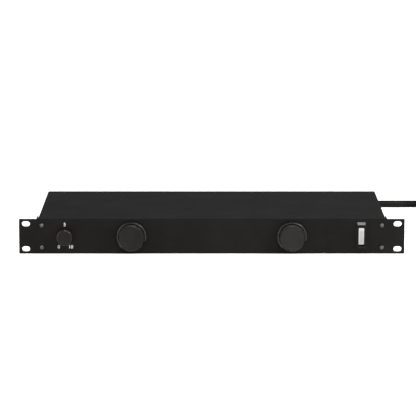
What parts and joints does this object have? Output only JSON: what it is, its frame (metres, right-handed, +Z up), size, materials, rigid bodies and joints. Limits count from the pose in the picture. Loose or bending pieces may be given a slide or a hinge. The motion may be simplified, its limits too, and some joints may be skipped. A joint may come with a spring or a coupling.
{
  "type": "rack power controller",
  "caption": "One-unit rack power controller with pull-out lamps on round knobs, a dimmer knob, a lit slim rocker switch, rear outlets and a coiled mains cord.",
  "frame": {"origin": "centre of the unit's box on the surface that it stands on, measured without the strain relief, cord, coil, tie and plug", "axes": "the front panel faces -Y, +X is to the right of someone facing it, +Z is up"},
  "size_m": [0.6965, 0.3631, 0.044],
  "materials": {
    "panel_black": "fine satin black powder coat",
    "chassis_black": "satin black powder coat",
    "screw_black": "black oxide steel",
    "knob_black": "satin black",
    "lamp_tube_black": "black anodised",
    "lens_clear": "frosted diffuser",
    "lens_white": "translucent white, lit from inside",
    "switch_black": "semi-gloss black",
    "outlet_black": "moulded black",
    "steel": "nickel plated",
    "brass": "bare",
    "board_green": "circuit board laminate",
    "ferrite_green": "coated core",
    "capacitor_yellow": "moulded case",
    "button_white": "moulded white",
    "cord_black": "matte jacket",
    "tie_black": "hook-and-loop strap"
  },
  "bodies": {
    "chassis": {"front_panel": "panel_black", "base_tray": "chassis_black", "top_cover": "chassis_black", "panel_screw_1": "screw_black", "panel_screw_2": "screw_black", "panel_screw_3": "screw_black", "panel_screw_4": "screw_black", "cover_screw_1": "screw_black", "cover_screw_2": "screw_black", "cover_screw_3": "screw_black", "cover_screw_4": "screw_black", "lamp_left_bezel": "knob_black", "lamp_left_guide": "lamp_tube_black", "lamp_right_bezel": "knob_black", "lamp_right_guide": "lamp_tube_black", "dimmer_pot": "steel", "dimmer_nut": "steel", "switch_housing": "switch_black", "rocker_pin": "steel", "outlet_1": "outlet_black", "outlet_2": "outlet_black", "outlet_3": "outlet_black", "outlet_4": "outlet_black", "outlet_5": "outlet_black", "outlet_6": "outlet_black", "outlet_7": "outlet_black", "outlet_8": "outlet_black", "line_bus_bar": "brass", "neutral_bus_bar": "brass", "ground_bus_bar": "brass", "breaker_body": "switch_black", "breaker_nut": "steel", "filter_board": "board_green", "filter_choke": "ferrite_green", "filter_capacitor": "capacitor_yellow", "led_supply": "switch_black", "strain_relief": "cord_black", "power_cord": "cord_black", "cord_coil": "cord_black", "coil_tie": "tie_black", "plug_body": "cord_black", "plug_line_blade": "brass", "plug_neutral_blade": "brass", "plug_ground_pin": "brass"},
    "lamp_left_shuttle": {"lamp_left_shuttle": "switch_black"},
    "lamp_left_tube": {"lamp_left_tube": "lamp_tube_black", "lamp_left_cap": "knob_black", "lamp_left_lens": "lens_clear", "lamp_left_led_board": "board_green"},
    "lamp_right_shuttle": {"lamp_right_shuttle": "switch_black"},
    "lamp_right_tube": {"lamp_right_tube": "lamp_tube_black", "lamp_right_cap": "knob_black", "lamp_right_lens": "lens_clear", "lamp_right_led_board": "board_green"},
    "dimmer": {"dimmer_shaft": "steel", "dimmer_knob": "knob_black"},
    "power_rocker": {"switch_rocker": "switch_black", "switch_lens": "lens_white"},
    "breaker_button": {"breaker_button": "button_white"}
  },
  "joints": [
    {"name": "lamp_left_slide", "type": "slide", "parent": "chassis", "child": "lamp_left_shuttle", "axis": [0, -1, 0], "range_m": [0, 0.11]},
    {"name": "lamp_left_turn", "type": "hinge", "parent": "lamp_left_shuttle", "child": "lamp_left_tube", "pos_m": [-0.1004, -0.10475, 0.022], "axis": [0, 1, 0], "range_deg": [-90, 90]},
    {"name": "lamp_right_slide", "type": "slide", "parent": "chassis", "child": "lamp_right_shuttle", "axis": [0, -1, 0], "range_m": [0, 0.11]},
    {"name": "lamp_right_turn", "type": "hinge", "parent": "lamp_right_shuttle", "child": "lamp_right_tube", "pos_m": [0.1004, -0.10475, 0.022], "axis": [0, 1, 0], "range_deg": [-90, 90]},
    {"name": "dimmer_turn", "type": "hinge", "parent": "chassis", "child": "dimmer", "pos_m": [-0.184, -0.10475, 0.022], "axis": [0, 1, 0], "range_deg": [-150, 150]},
    {"name": "power_rocker", "type": "hinge", "parent": "chassis", "child": "power_rocker", "pos_m": [0.18705, -0.10325, 0.0232], "axis": [-1, 0, 0], "range_deg": [0, 16]},
    {"name": "breaker_reset", "type": "slide", "parent": "chassis", "child": "breaker_button", "axis": [0, -1, 0], "range_m": [0, 0.0025], "stiffness_N_per_m": 1500}
  ]
}
